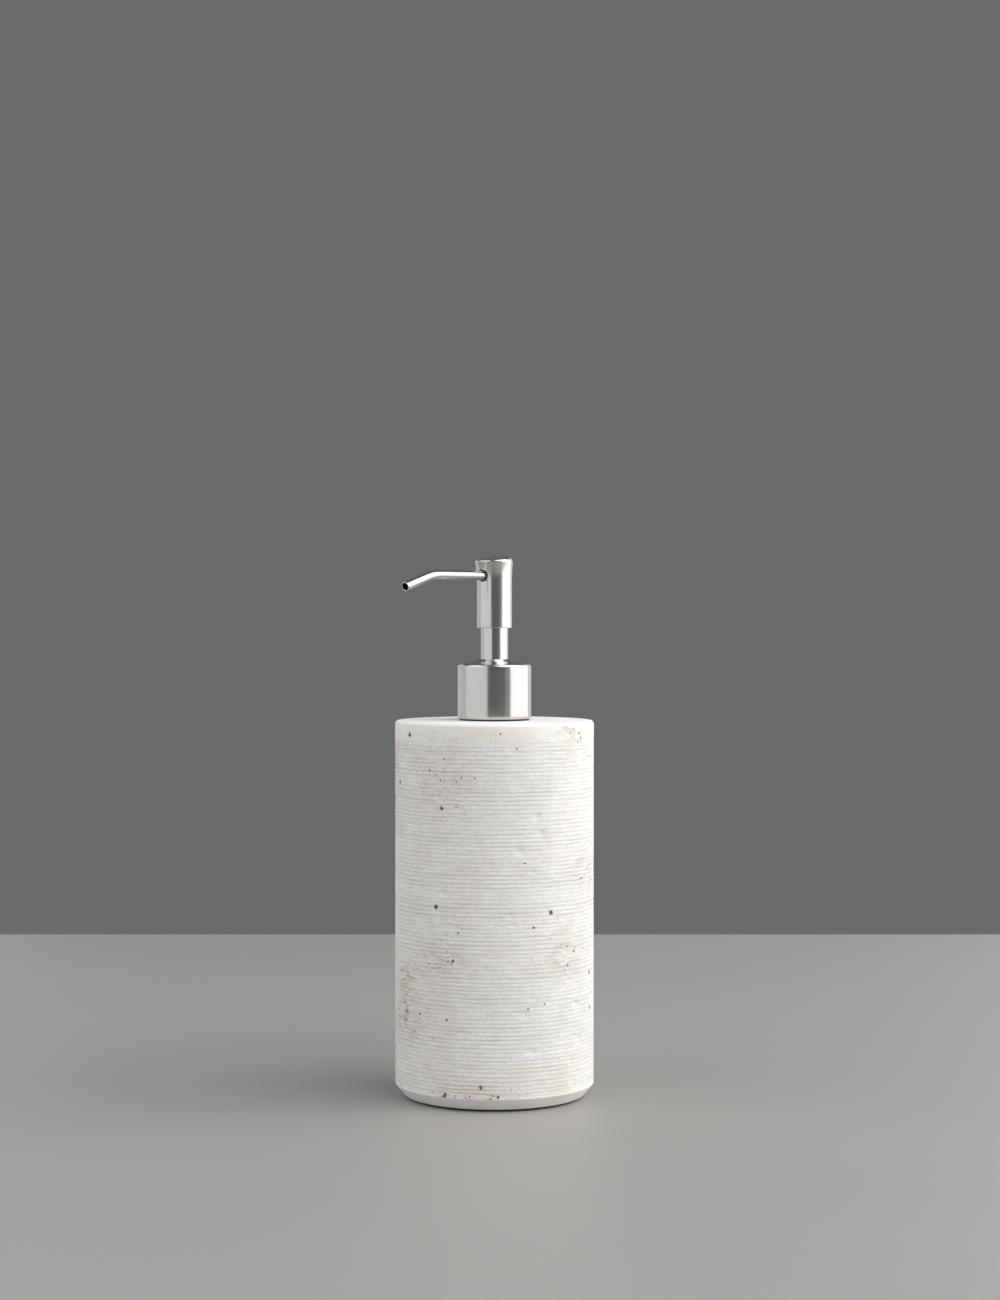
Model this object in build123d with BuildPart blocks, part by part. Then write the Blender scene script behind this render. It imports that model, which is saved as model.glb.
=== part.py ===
"""Soap pump dispenser: a turned stone vessel with a threaded neck and a spring-return lotion pump.

Millimetres. The origin is the centre of the underside of the foot pad, +Z is up along the vessel's axis,
and the spout points to -Y.
"""

from build123d import *
from math import copysign, radians, sqrt, tan
import os

# Stone vessel
body_diameter = 70.0
body_top = 132.2  # height of the stone's top face above the surface it stands on
body_wall = 9.5
body_top_wall = 12.0
body_edge_fillet = 1.2
foot_chamfer_height = 3.9
foot_chamfer_inset = 3.2
base_plug_thickness = 8.0
base_plug_ledge = 2.5  # how far the plug's seat is wider than the cavity
pad_thickness = 0.8
pad_margin = 1.8  # bare stone round the pad

# Neck insert and the thread
neck_core_radius = 10.7
neck_wall = 1.5
neck_height = 15.2  # from the stone's top face to the neck's rim
neck_flange_thickness = 0.5
neck_flange_overhang = 1.6
thread_pitch = 3.175
thread_height = 0.8
thread_root_width = 1.6  # at the foot of the ridge, inside the wall
thread_crest_width = 0.6
thread_turns = 1.6
thread_embed = 0.25  # how deep each ridge is rooted in its wall
thread_start_above_stone = 5.0

# Closure
cap_wall = 0.9
cap_top_thickness = 1.2
cap_edge_chamfer = 1.0
cap_skirt_lift = 0.4  # the moulded cap stops short of the collar's lower edge
collar_wall = 0.42
collar_corner_fillet = 1.0
collar_corner_height = 0.4  # from the cap's top up to the collar's outer corner
collar_cone_rise = 1.4
collar_foot_gap = 0.6

# Neck tube and guide
sleeve_radius = 4.85
sleeve_wall = 0.4
sleeve_inside_head = 2.8  # length of neck tube hidden in the head at rest
guide_flange_thickness = 0.9
guide_skirt_length = 7.6  # how far the guide reaches into the chamber

# Head
head_height = 24.5  # from its lower edge to its slanted top, on the axis
head_wall = 0.47
head_sleeve_gap = 0.9  # radial, between the head's bore and the neck tube
head_top_tilt = 7.0  # degrees, down towards the spout
head_flare_height = 7.0
head_flare_growth = 0.63
head_flare_offset = 0.35  # the flared top leans this far towards the spout
flare_extension = 2  # the flare is drawn this many times its height, then cut by the slanted top
head_top_fillet = 0.7
head_roof = 0.9
core_roof_gap = 0.6
core_hub_wall = 0.55
core_hub_length = 9.8
core_passage_radius = 1.4
stem_in_core = 8.6

# Spout
spout_radius = 1.7
spout_wall = 0.4
spout_drop = 6.2  # from the head's top down to the spout's axis
spout_socket_depth = 3.9  # how far the tube enters the core
spout_bend_distance = 30.9  # from the axis to the point of the bend
spout_bend_angle = 17.6
spout_bend_radius = 22.0
spout_end_length = 14.1
spout_hole_gap = 0.45  # the head's hole is this much wider all round than the tube

# Pump
press_stroke = 10.5
press_spare = 0.9  # left between head and collar when the head is right down
flange_inset = 0.3  # the pump's flange is this much smaller than the neck
flange_thickness = 1.0
gasket_thickness = 0.9
chamber_bore_radius = 4.9
chamber_wall = 1.2
dip_tube_radius = 2.4
dip_tube_wall = 0.7
dip_tube_floor_gap = 3.0
dip_tube_slant = 45  # degrees
nozzle_wall = 1.17
nozzle_length = 12.0

# Inlet valve
ball_radius = 1.6
ball_lift = 1.5
ball_side_gap = 1.0
ball_roof_gap = 0.2
valve_hole_radius = 1.1
valve_pocket_margin = 0.5  # the pocket is this much wider than the cage's bore, and its wall this high
cage_roof = 1.0
cage_port_radius = 0.65
cage_port_circle = 1.75
cage_port_count = 4

# Spring, stem, rod and piston
spring_wire_radius = 0.4
spring_turns = 8
spring_side_gap = 0.9
spring_shut_spare = 0.8  # what is left of the spring's travel when the head is right down
stem_radius = 2.5
stem_wall = 1.0
stem_foot_overhang = 0.6
stem_foot_thickness = 1.2
stem_socket_wall = 0.52
stem_socket_depth = 5.0
rod_bore_radius = 1.0
rod_flange_gap = 0.6
rod_flange_thickness = 1.2
rod_pin_end_gap = 1.0
rod_port_radius = 0.4
rod_port_height = 0.55
piston_hub_wall = 1.1
piston_hub_length = 4.4
piston_web_thickness = 1.2
piston_skirt_height = 3.8
piston_skirt_wall = 0.6
piston_skirt_lift = 0.4
piston_lost_motion = 0.8

# Clearances
glue_gap = 0.1
slip_gap = 0.05  # radial, parts that turn or slide on each other
assembly_gap = 0.03  # radial, parts pushed together and left
stop_gap = 0.1  # along the axis, where a moving part rests on its stop
free_gap = 0.3
thread_gap = 0.2  # radial, between each thread's crest and the other's root

# Worked out from the sizes above: vessel
body_radius = body_diameter / 2
cavity_radius = body_radius - body_wall
plug_top = pad_thickness + base_plug_thickness
plug_seat_radius = cavity_radius + base_plug_ledge
cavity_top = body_top - body_top_wall
foot_radius = body_radius - foot_chamfer_inset
pad_radius = foot_radius - pad_margin
stone_bore_radius = neck_core_radius + glue_gap

# Worked out: neck and closure
neck_bore_radius = neck_core_radius - neck_wall
neck_flange_radius = neck_core_radius + neck_flange_overhang
neck_rim = body_top + neck_height
thread_start = body_top + thread_start_above_stone
thread_crest_radius = neck_core_radius + thread_height
cap_root_radius = thread_crest_radius + thread_gap
cap_crest_radius = neck_core_radius + thread_gap
cap_radius = cap_root_radius + cap_wall
collar_bore_radius = cap_radius + assembly_gap
collar_radius = collar_bore_radius + collar_wall
collar_bottom = body_top + collar_foot_gap

# Worked out: the stack above the neck's rim
flange_radius = neck_core_radius - flange_inset
flange_bottom = neck_rim + gasket_thickness
flange_top = flange_bottom + flange_thickness
guide_flange_top = flange_top + guide_flange_thickness
cap_ceiling = guide_flange_top + stop_gap
cap_top = cap_ceiling + cap_top_thickness
cap_bottom = collar_bottom + cap_skirt_lift
collar_shoulder = cap_top + collar_corner_height
collar_apex = collar_shoulder + collar_cone_rise

# Worked out: head
head_bottom = collar_apex + press_stroke + press_spare
head_top = head_bottom + head_height
head_bore_radius = sleeve_radius + head_sleeve_gap
head_radius = head_bore_radius + head_wall
flare_bottom = head_top - head_flare_height
spout_height = head_top - spout_drop
spout_bore_radius = spout_radius - spout_wall
spout_hole_radius = spout_radius + spout_hole_gap

# Worked out: neck tube, guide and the head's core
sleeve_top = head_bottom + sleeve_inside_head
sleeve_hole_radius = sleeve_radius + slip_gap
guide_radius = sleeve_radius - sleeve_wall - assembly_gap
guide_bore = stem_radius + slip_gap
core_hub_radius = guide_bore + core_hub_wall
guide_wide_bore = core_hub_radius + free_gap
core_radius = head_bore_radius - assembly_gap
core_bottom = sleeve_top + press_stroke + press_spare
core_top = head_top - head_roof - head_bore_radius * tan(radians(head_top_tilt)) - core_roof_gap
head_ceiling = core_top + assembly_gap
hub_bottom = core_bottom - core_hub_length
stem_top = hub_bottom + stem_in_core
guide_step = hub_bottom - press_stroke - press_spare

# Worked out: stem, rod and piston, from the guide down
rod_radius = stem_radius - stem_socket_wall - assembly_gap
stem_bore_radius = stem_radius - stem_wall
stem_foot_radius = stem_radius + stem_foot_overhang
guide_skirt_bottom = flange_top - guide_skirt_length
stem_foot_top = guide_skirt_bottom - stop_gap
stem_foot_bottom = stem_foot_top - stem_foot_thickness
rod_flange_top = stem_foot_bottom - piston_lost_motion - piston_hub_length - 2 * slip_gap
rod_flange_bottom = rod_flange_top - rod_flange_thickness
rod_flange_radius = chamber_bore_radius - rod_flange_gap
rod_top = stem_foot_bottom + stem_socket_depth
piston_bottom = rod_flange_top + slip_gap
piston_hub_bore = rod_radius + slip_gap
piston_hub_radius = piston_hub_bore + piston_hub_wall

# Worked out: spring, cage and inlet valve
spring_shut_length = (spring_turns + 1) * 2 * spring_wire_radius + spring_shut_spare
spring_mean_radius = chamber_bore_radius - spring_side_gap - spring_wire_radius
rod_pin_radius = spring_mean_radius - spring_wire_radius - spring_side_gap
rod_pin_length = spring_shut_length - rod_pin_end_gap
cage_top = rod_flange_bottom - press_stroke - spring_shut_length
cage_bore_radius = ball_radius + ball_side_gap
valve_pocket_radius = cage_bore_radius + valve_pocket_margin
valve_seat_drop = valve_pocket_radius - valve_hole_radius + valve_pocket_margin
ball_centre_over_seat = (ball_radius + assembly_gap) * sqrt(2) - valve_hole_radius
ball_top_over_seat = ball_centre_over_seat + ball_radius + ball_lift
cage_height = ball_top_over_seat - valve_seat_drop + ball_roof_gap + cage_roof
chamber_shoulder = cage_top - cage_height
seat_bottom = chamber_shoulder - valve_seat_drop
ball_centre = seat_bottom + ball_centre_over_seat

# Worked out: pump body
chamber_radius = chamber_bore_radius + chamber_wall
dip_tube_bore_radius = dip_tube_radius - dip_tube_wall
nozzle_bore_radius = dip_tube_radius + assembly_gap
nozzle_radius = nozzle_bore_radius + nozzle_wall
socket_top = seat_bottom - flange_thickness
nozzle_bottom = socket_top - nozzle_length


def save(piece, name):
    """Labels a finished piece and writes it under the same name."""
    piece.label = name
    export_step(piece, f"parts/{name}.step")


def make_thread_ridge(wall_radius, start_height, rise):
    """Right-handed helical ridge rooted in a round wall. A positive rise points outwards."""
    root = -copysign(thread_embed, rise)
    with BuildPart() as ridge:
        with BuildLine():
            Helix(
                pitch=thread_pitch,
                height=thread_turns * thread_pitch,
                radius=wall_radius,
                center=(0, 0, start_height),
            )
        with BuildSketch(Plane(origin=(wall_radius, 0, start_height), x_dir=(1, 0, 0), z_dir=(0, 1, 0))):
            with BuildLine():
                Polyline(
                    (root, -thread_root_width / 2),
                    (rise, -thread_crest_width / 2),
                    (rise, thread_crest_width / 2),
                    (root, thread_root_width / 2),
                    close=True,
                )
            make_face()
        sweep(is_frenet=True)
    return ridge.part


def make_vessel_body():
    """Turned cylinder, bored from below with a seat for the plug, and with a bore for the neck."""
    with BuildPart() as vessel_body:
        with BuildSketch(Plane.XY.offset(pad_thickness)):
            Circle(body_radius)
        extrude(amount=body_top - pad_thickness)
        foot_edge = vessel_body.edges().group_by(Axis.Z)[0]
        chamfer(foot_edge, length=foot_chamfer_height, length2=foot_chamfer_inset,
                reference=vessel_body.faces().sort_by(SortBy.AREA)[-1])
        fillet(vessel_body.edges().group_by(Axis.Z)[-1], body_edge_fillet)
        with BuildSketch(Plane.XY.offset(pad_thickness)):
            Circle(plug_seat_radius)
        extrude(amount=base_plug_thickness, mode=Mode.SUBTRACT)
        with BuildSketch(Plane.XY.offset(plug_top)):
            Circle(cavity_radius)
        extrude(amount=cavity_top - plug_top, mode=Mode.SUBTRACT)
        with BuildSketch(Plane.XY.offset(cavity_top)):
            Circle(stone_bore_radius)
        extrude(amount=body_top_wall, mode=Mode.SUBTRACT)
    save(vessel_body.part, "vessel_body")


def make_vessel_base_plug():
    """Disc that closes the cavity, glued against its seat."""
    with BuildPart() as vessel_base_plug:
        with BuildSketch(Plane.XY.offset(pad_thickness)):
            Circle(plug_seat_radius - glue_gap)
        extrude(amount=base_plug_thickness)
    save(vessel_base_plug.part, "vessel_base_plug")


def make_foot_pad():
    """Thin non-slip disc under the stone."""
    with BuildPart() as foot_pad:
        with BuildSketch(Plane.XY):
            Circle(pad_radius)
        extrude(amount=pad_thickness)
    save(foot_pad.part, "foot_pad")


def make_neck_insert():
    """Sleeve glued into the stone, with a flange on its top face and a threaded neck above it."""
    ridge = make_thread_ridge(neck_core_radius, thread_start, thread_height)
    with BuildPart() as neck_insert:
        with BuildSketch(Plane.XY.offset(cavity_top)):
            Circle(neck_core_radius)
        extrude(amount=body_top_wall + neck_height)
        with BuildSketch(Plane.XY.offset(body_top)):
            Circle(neck_flange_radius)
        extrude(amount=neck_flange_thickness)
        add(ridge)
        with BuildSketch(Plane.XY.offset(cavity_top)):
            Circle(neck_bore_radius)
        extrude(amount=body_top_wall + neck_height, mode=Mode.SUBTRACT)
    save(neck_insert.part, "neck_insert")


def make_sealing_gasket():
    """Flat ring between the neck's rim and the pump's flange."""
    with BuildPart() as sealing_gasket:
        with BuildSketch(Plane.XY.offset(neck_rim)):
            Circle(flange_radius)
            Circle(chamber_radius + free_gap, mode=Mode.SUBTRACT)
        extrude(amount=gasket_thickness)
    save(sealing_gasket.part, "sealing_gasket")


def make_closure_cap():
    """Cap with the female thread. Its ridge runs half a pitch below the neck's ridge."""
    ridge_start = thread_start - thread_pitch / 2
    ridge = make_thread_ridge(cap_root_radius, ridge_start, cap_crest_radius - cap_root_radius)
    with BuildPart() as closure_cap:
        with BuildSketch(Plane.XY.offset(cap_bottom)):
            Circle(cap_radius)
        extrude(amount=cap_top - cap_bottom)
        chamfer(closure_cap.edges().group_by(Axis.Z)[-1], cap_edge_chamfer)
        with BuildSketch(Plane.XY.offset(cap_bottom)):
            Circle(cap_root_radius)
        extrude(amount=cap_ceiling - cap_bottom, mode=Mode.SUBTRACT)
        with BuildSketch(Plane.XY.offset(cap_ceiling)):
            Circle(sleeve_radius + free_gap)
        extrude(amount=cap_top_thickness, mode=Mode.SUBTRACT)
        add(ridge)
    save(closure_cap.part, "closure_cap")


def make_collar_shell():
    """Drawn steel collar: a plain wall, a rounded shoulder and a shallow cone up to the neck tube."""
    with BuildPart() as collar_shell:
        with BuildSketch(Plane.XZ):
            with BuildLine():
                Polyline(
                    (0, collar_bottom),
                    (collar_radius, collar_bottom),
                    (collar_radius, collar_shoulder),
                    (sleeve_radius, collar_apex),
                    (0, collar_apex),
                    close=True,
                )
            make_face()
        revolve(axis=Axis.Z)
        widest_edges = collar_shell.edges().filter_by(GeomType.CIRCLE).group_by(SortBy.RADIUS)[-1]
        fillet(widest_edges.sort_by(Axis.Z)[-1], collar_corner_fillet)
        with BuildSketch(Plane.XZ):
            with BuildLine():
                Polyline(
                    (0, collar_bottom),
                    (collar_bore_radius, collar_bottom),
                    (collar_bore_radius, cap_top - cap_edge_chamfer),
                    (collar_bore_radius - cap_edge_chamfer, cap_top),
                    (sleeve_radius, collar_apex - collar_wall),
                    (0, collar_apex - collar_wall),
                    close=True,
                )
            make_face()
        revolve(axis=Axis.Z, mode=Mode.SUBTRACT)
        with BuildSketch(Plane.XY.offset(collar_bottom)):
            Circle(sleeve_hole_radius)
        extrude(amount=collar_apex - collar_bottom, mode=Mode.SUBTRACT)
    save(collar_shell.part, "collar_shell")


def make_guide_sleeve():
    """Plain steel tube over the guide's chimney."""
    with BuildPart() as guide_sleeve:
        with BuildSketch(Plane.XY.offset(guide_flange_top)):
            Circle(sleeve_radius)
            Circle(sleeve_radius - sleeve_wall, mode=Mode.SUBTRACT)
        extrude(amount=sleeve_top - guide_flange_top)
    save(guide_sleeve.part, "guide_sleeve")


def make_stem_guide():
    """Flange, a skirt that enters the chamber, and a chimney that holds the stem upright."""
    with BuildPart() as stem_guide:
        with BuildSketch(Plane.XZ):
            with BuildLine():
                Polyline(
                    (guide_bore, guide_skirt_bottom),
                    (chamber_bore_radius - assembly_gap, guide_skirt_bottom),
                    (chamber_bore_radius - assembly_gap, flange_top),
                    (flange_radius, flange_top),
                    (flange_radius, guide_flange_top),
                    (guide_radius, guide_flange_top),
                    (guide_radius, sleeve_top),
                    (guide_wide_bore, sleeve_top),
                    (guide_wide_bore, guide_step),
                    (guide_bore, guide_step),
                    close=True,
                )
            make_face()
        revolve(axis=Axis.Z)
    save(stem_guide.part, "stem_guide")


def make_pump_chamber():
    """Barrel with the flange at its top, the inlet valve's seat below and the dip tube's socket."""
    with BuildPart() as pump_chamber:
        with BuildSketch(Plane.XZ):
            with BuildLine():
                Polyline(
                    (valve_hole_radius, socket_top),
                    (nozzle_bore_radius, socket_top),
                    (nozzle_bore_radius, nozzle_bottom),
                    (nozzle_radius, nozzle_bottom),
                    (nozzle_radius, socket_top),
                    (chamber_radius, chamber_shoulder),
                    (chamber_radius, flange_bottom),
                    (flange_radius, flange_bottom),
                    (flange_radius, flange_top),
                    (chamber_bore_radius, flange_top),
                    (chamber_bore_radius, chamber_shoulder),
                    (valve_pocket_radius, chamber_shoulder),
                    (valve_pocket_radius, seat_bottom + valve_pocket_radius - valve_hole_radius),
                    (valve_hole_radius, seat_bottom),
                    close=True,
                )
            make_face()
        revolve(axis=Axis.Z)
    save(pump_chamber.part, "pump_chamber")


def make_valve_cage():
    """Ring on the chamber's shoulder with a perforated roof that stops the ball."""
    with BuildPart() as valve_cage:
        with BuildSketch(Plane.XY.offset(chamber_shoulder)):
            Circle(chamber_bore_radius - assembly_gap)
        extrude(amount=cage_height)
        with BuildSketch(Plane.XY.offset(chamber_shoulder)):
            Circle(cage_bore_radius)
        extrude(amount=cage_height - cage_roof, mode=Mode.SUBTRACT)
        with BuildSketch(Plane.XY.offset(cage_top - cage_roof)):
            with PolarLocations(cage_port_circle, cage_port_count):
                Circle(cage_port_radius)
        extrude(amount=cage_roof, mode=Mode.SUBTRACT)
    save(valve_cage.part, "valve_cage")


def make_inlet_ball():
    """Ball of the inlet valve, at rest on its seat."""
    with BuildPart(Plane.XY.offset(ball_centre)) as inlet_ball:
        Sphere(ball_radius)
    save(inlet_ball.part, "inlet_ball")


def make_return_spring():
    """Round wire coiled between the cage and the rod's flange."""
    coil_bottom = cage_top + spring_wire_radius + slip_gap
    coil_height = rod_flange_bottom - spring_wire_radius - slip_gap - coil_bottom
    with BuildPart() as return_spring:
        with BuildLine():
            Helix(
                pitch=coil_height / spring_turns,
                height=coil_height,
                radius=spring_mean_radius,
                center=(0, 0, coil_bottom),
            )
        wire_end = Plane(origin=(spring_mean_radius, 0, coil_bottom), x_dir=(1, 0, 0), z_dir=(0, 1, 0))
        with BuildSketch(wire_end):
            Circle(spring_wire_radius)
        sweep(is_frenet=True)
    save(return_spring.part, "return_spring")


def make_piston_rod():
    """Rod with a flange that is both the spring's seat and the outlet valve's seat."""
    with BuildPart() as piston_rod:
        with BuildSketch(Plane.XZ):
            with BuildLine():
                Polyline(
                    (0, rod_flange_bottom - rod_pin_length),
                    (rod_pin_radius, rod_flange_bottom - rod_pin_length),
                    (rod_pin_radius, rod_flange_bottom),
                    (rod_flange_radius, rod_flange_bottom),
                    (rod_flange_radius, rod_flange_top),
                    (rod_radius, rod_flange_top),
                    (rod_radius, rod_top),
                    (rod_bore_radius, rod_top),
                    (rod_bore_radius, rod_flange_top),
                    (0, rod_flange_top),
                    close=True,
                )
            make_face()
        revolve(axis=Axis.Z)
        for side in (Plane.XZ, Plane.YZ):
            with BuildSketch(side):
                with Locations((0, rod_flange_top + rod_port_height)):
                    Circle(rod_port_radius)
            extrude(amount=rod_flange_radius, both=True, mode=Mode.SUBTRACT)
    save(piston_rod.part, "piston_rod")


def make_piston_seal():
    """Hub that slides on the rod, a web, and a skirt with a lip at each end."""
    skirt_radius = chamber_bore_radius - slip_gap
    skirt_inside = skirt_radius - piston_skirt_wall
    skirt_bottom = piston_bottom + piston_skirt_lift
    skirt_top = skirt_bottom + piston_skirt_height
    web_bottom = piston_bottom + (piston_hub_length - piston_web_thickness) / 2
    web_top = web_bottom + piston_web_thickness
    waist_radius = skirt_radius - piston_skirt_wall / 2
    with BuildPart() as piston_seal:
        with BuildSketch(Plane.XZ):
            with BuildLine():
                Polyline(
                    (piston_hub_bore, piston_bottom),
                    (piston_hub_radius, piston_bottom),
                    (piston_hub_radius, web_bottom),
                    (skirt_inside, web_bottom),
                    (skirt_inside, skirt_bottom),
                    (skirt_radius, skirt_bottom),
                    (waist_radius, web_bottom),
                    (waist_radius, web_top),
                    (skirt_radius, skirt_top),
                    (skirt_inside, skirt_top),
                    (skirt_inside, web_top),
                    (piston_hub_radius, web_top),
                    (piston_hub_radius, piston_bottom + piston_hub_length),
                    (piston_hub_bore, piston_bottom + piston_hub_length),
                    close=True,
                )
            make_face()
        revolve(axis=Axis.Z)
    save(piston_seal.part, "piston_seal")


def make_stem():
    """Hollow stem with a foot that stops it under the guide and a socket for the rod."""
    with BuildPart() as stem:
        with BuildSketch(Plane.XZ):
            with BuildLine():
                Polyline(
                    (rod_radius + assembly_gap, stem_foot_bottom),
                    (stem_foot_radius, stem_foot_bottom),
                    (stem_foot_radius, stem_foot_top),
                    (stem_radius, stem_foot_top),
                    (stem_radius, stem_top),
                    (stem_bore_radius, stem_top),
                    (stem_bore_radius, rod_top),
                    (rod_radius + assembly_gap, rod_top),
                    close=True,
                )
            make_face()
        revolve(axis=Axis.Z)
    save(stem.part, "stem")


def make_actuator_core():
    """Moulded plug of the head: a hub on the stem, the passage up, and the spout's socket."""
    with BuildPart() as actuator_core:
        with BuildSketch(Plane.XY.offset(core_bottom)):
            Circle(core_radius)
        extrude(amount=core_top - core_bottom)
        with BuildSketch(Plane.XY.offset(hub_bottom)):
            Circle(core_hub_radius)
        extrude(amount=core_hub_length)
        with BuildSketch(Plane.XY.offset(hub_bottom)):
            Circle(guide_bore)
        extrude(amount=stem_in_core + stop_gap, mode=Mode.SUBTRACT)
        with BuildSketch(Plane.XY.offset(stem_top)):
            Circle(core_passage_radius)
        extrude(amount=spout_height - stem_top, mode=Mode.SUBTRACT)
        with BuildSketch(Plane.XZ):
            with Locations((0, spout_height)):
                Circle(spout_radius + assembly_gap)
        extrude(amount=core_radius, mode=Mode.SUBTRACT)
    save(actuator_core.part, "actuator_core")


def make_head_shell():
    """Tall can with a flared, slanted top, bored from below, and the spout's oversized hole."""
    with BuildPart() as head_shell:
        with BuildSketch(Plane.XY.offset(head_bottom)):
            Circle(head_radius)
        extrude(amount=flare_bottom - head_bottom)
        with BuildSketch(Plane.XY.offset(flare_bottom)):
            Circle(head_radius)
        with BuildSketch(Plane.XY.offset(flare_bottom + flare_extension * head_flare_height)):
            with Locations((0, -flare_extension * head_flare_offset)):
                Circle(head_radius + flare_extension * head_flare_growth)
        loft()
        top_plane = Plane.XY.offset(head_top).rotated((head_top_tilt, 0, 0))
        split(bisect_by=top_plane, keep=Keep.BOTTOM)
        fillet(head_shell.faces().sort_by(Axis.Z)[-1].edges(), head_top_fillet)
        with BuildSketch(Plane.XY.offset(head_bottom)):
            Circle(head_bore_radius)
        extrude(amount=head_ceiling - head_bottom, mode=Mode.SUBTRACT)
        with BuildSketch(Plane.XZ):
            with Locations((0, spout_height)):
                Circle(spout_hole_radius)
        extrude(amount=2 * head_radius, mode=Mode.SUBTRACT)
    save(head_shell.part, "head_shell")


def make_spout_tube():
    """Thin tube: straight out of the core, one smooth bend and a straight end that points down."""
    start = spout_socket_depth - core_radius
    tangent_length = spout_bend_radius * tan(radians(spout_bend_angle) / 2)
    bend_start = -(spout_bend_distance - tangent_length)
    end_run = spout_end_length - tangent_length
    with BuildPart() as spout_tube:
        with BuildLine(Plane.YZ):
            inner_run = Line((start, spout_height), (bend_start, spout_height))
            bend = JernArc(inner_run @ 1, inner_run % 1, spout_bend_radius, spout_bend_angle)
            PolarLine(bend @ 1, end_run, direction=bend % 1)
        with BuildSketch(Plane(origin=(0, start, spout_height), x_dir=(1, 0, 0), z_dir=(0, -1, 0))):
            Circle(spout_radius)
            Circle(spout_bore_radius, mode=Mode.SUBTRACT)
        sweep()
    save(spout_tube.part, "spout_tube")


def make_dip_tube():
    """Suction tube, cut off at a slant just above the cavity's floor."""
    tube_bottom = plug_top + dip_tube_floor_gap
    with BuildPart() as dip_tube:
        with BuildSketch(Plane.XY.offset(tube_bottom)):
            Circle(dip_tube_radius)
            Circle(dip_tube_bore_radius, mode=Mode.SUBTRACT)
        extrude(amount=socket_top - tube_bottom)
        slant_plane = Plane.XY.offset(tube_bottom + dip_tube_radius).rotated((dip_tube_slant, 0, 0))
        split(bisect_by=slant_plane, keep=Keep.TOP)
    save(dip_tube.part, "dip_tube")


os.makedirs("parts", exist_ok=True)
make_vessel_body()
make_vessel_base_plug()
make_foot_pad()
make_neck_insert()
make_sealing_gasket()
make_closure_cap()
make_collar_shell()
make_guide_sleeve()
make_stem_guide()
make_pump_chamber()
make_valve_cage()
make_inlet_ball()
make_return_spring()
make_piston_rod()
make_piston_seal()
make_stem()
make_actuator_core()
make_head_shell()
make_spout_tube()
make_dip_tube()
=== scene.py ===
from math import cos, pi, radians, sin, tan

import bpy
import numpy as np
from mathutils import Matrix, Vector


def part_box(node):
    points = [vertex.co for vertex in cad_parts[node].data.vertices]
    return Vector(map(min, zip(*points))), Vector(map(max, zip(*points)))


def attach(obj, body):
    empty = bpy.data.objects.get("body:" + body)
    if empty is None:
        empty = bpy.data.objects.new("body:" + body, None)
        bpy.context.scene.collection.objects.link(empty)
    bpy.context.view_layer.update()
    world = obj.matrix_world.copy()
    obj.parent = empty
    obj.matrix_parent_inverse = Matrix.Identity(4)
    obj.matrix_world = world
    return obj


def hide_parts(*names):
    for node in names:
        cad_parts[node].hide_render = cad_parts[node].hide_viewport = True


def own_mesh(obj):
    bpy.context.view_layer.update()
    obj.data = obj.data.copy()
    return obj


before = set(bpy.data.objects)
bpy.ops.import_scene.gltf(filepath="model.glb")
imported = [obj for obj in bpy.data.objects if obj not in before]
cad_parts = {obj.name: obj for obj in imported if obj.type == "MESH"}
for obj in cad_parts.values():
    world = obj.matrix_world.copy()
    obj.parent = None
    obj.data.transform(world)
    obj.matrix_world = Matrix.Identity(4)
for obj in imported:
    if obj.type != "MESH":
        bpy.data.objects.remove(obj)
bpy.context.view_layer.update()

bl_info = {
    "name": "Stone soap dispenser",
    "version": (1, 0, 0),
    "blender": (4, 5, 0),
    "location": "View3D > Sidebar > Dispenser",
    "description": "Builds a turned stone soap dispenser with a steel pump around its packed frame",
    "category": "Object",
}

MM = 0.001
SEED = 24


# Colour and shader helpers


def linear(hex_code):
    """An sRGB hex value as linear red, green and blue."""
    srgb = np.array([int(hex_code[i : i + 2], 16) for i in (1, 3, 5)]) / 255
    return tuple(np.where(srgb <= 0.04045, srgb / 12.92, ((srgb + 0.055) / 1.055) ** 2.4))


def add_node(tree, kind, inputs=None, **settings):
    """Adds one shader node. settings are its properties; inputs maps sockets to values or outputs."""
    node = tree.nodes.new(kind)
    for name, value in settings.items():
        setattr(node, name, value)
    for socket, value in (inputs or {}).items():
        if isinstance(value, bpy.types.NodeSocket):
            tree.links.new(value, node.inputs[socket])
        else:
            node.inputs[socket].default_value = value
    return node


def start_material(name, **shader_values):
    """A material with a Principled shader: returns it, its tree, its shader and Object coordinates."""
    material = bpy.data.materials.new(name)
    material.use_nodes = True
    tree = material.node_tree
    tree.nodes.clear()
    inputs = {name.replace("_", " "): value for name, value in shader_values.items()}
    shader = add_node(tree, "ShaderNodeBsdfPrincipled", inputs)
    add_node(tree, "ShaderNodeOutputMaterial", {"Surface": shader.outputs[0]})
    place = add_node(tree, "ShaderNodeTexCoord").outputs["Object"]
    return material, tree, shader, place


def per_mm(size_mm):
    """The texture scale that makes a pattern's features about this many millimetres wide."""
    return 1 / (size_mm * MM)


def rgba(colour):
    """A colour with its alpha, as sockets want it."""
    return (*tuple(colour)[:3], 1.0)


# Mesh helpers


def ring_faces(rows, cols, close_rows=False):
    """Quads of a grid of rows x cols points whose columns wrap round, and whose rows too if close_rows."""
    i = np.arange(rows if close_rows else rows - 1)[:, None]
    j = np.arange(cols)[None, :]
    a, b = i * cols, ((i + 1) % rows) * cols
    k = (j + 1) % cols
    return np.stack([a + j, a + k, b + k, b + j], -1).reshape(-1, 4)


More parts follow.
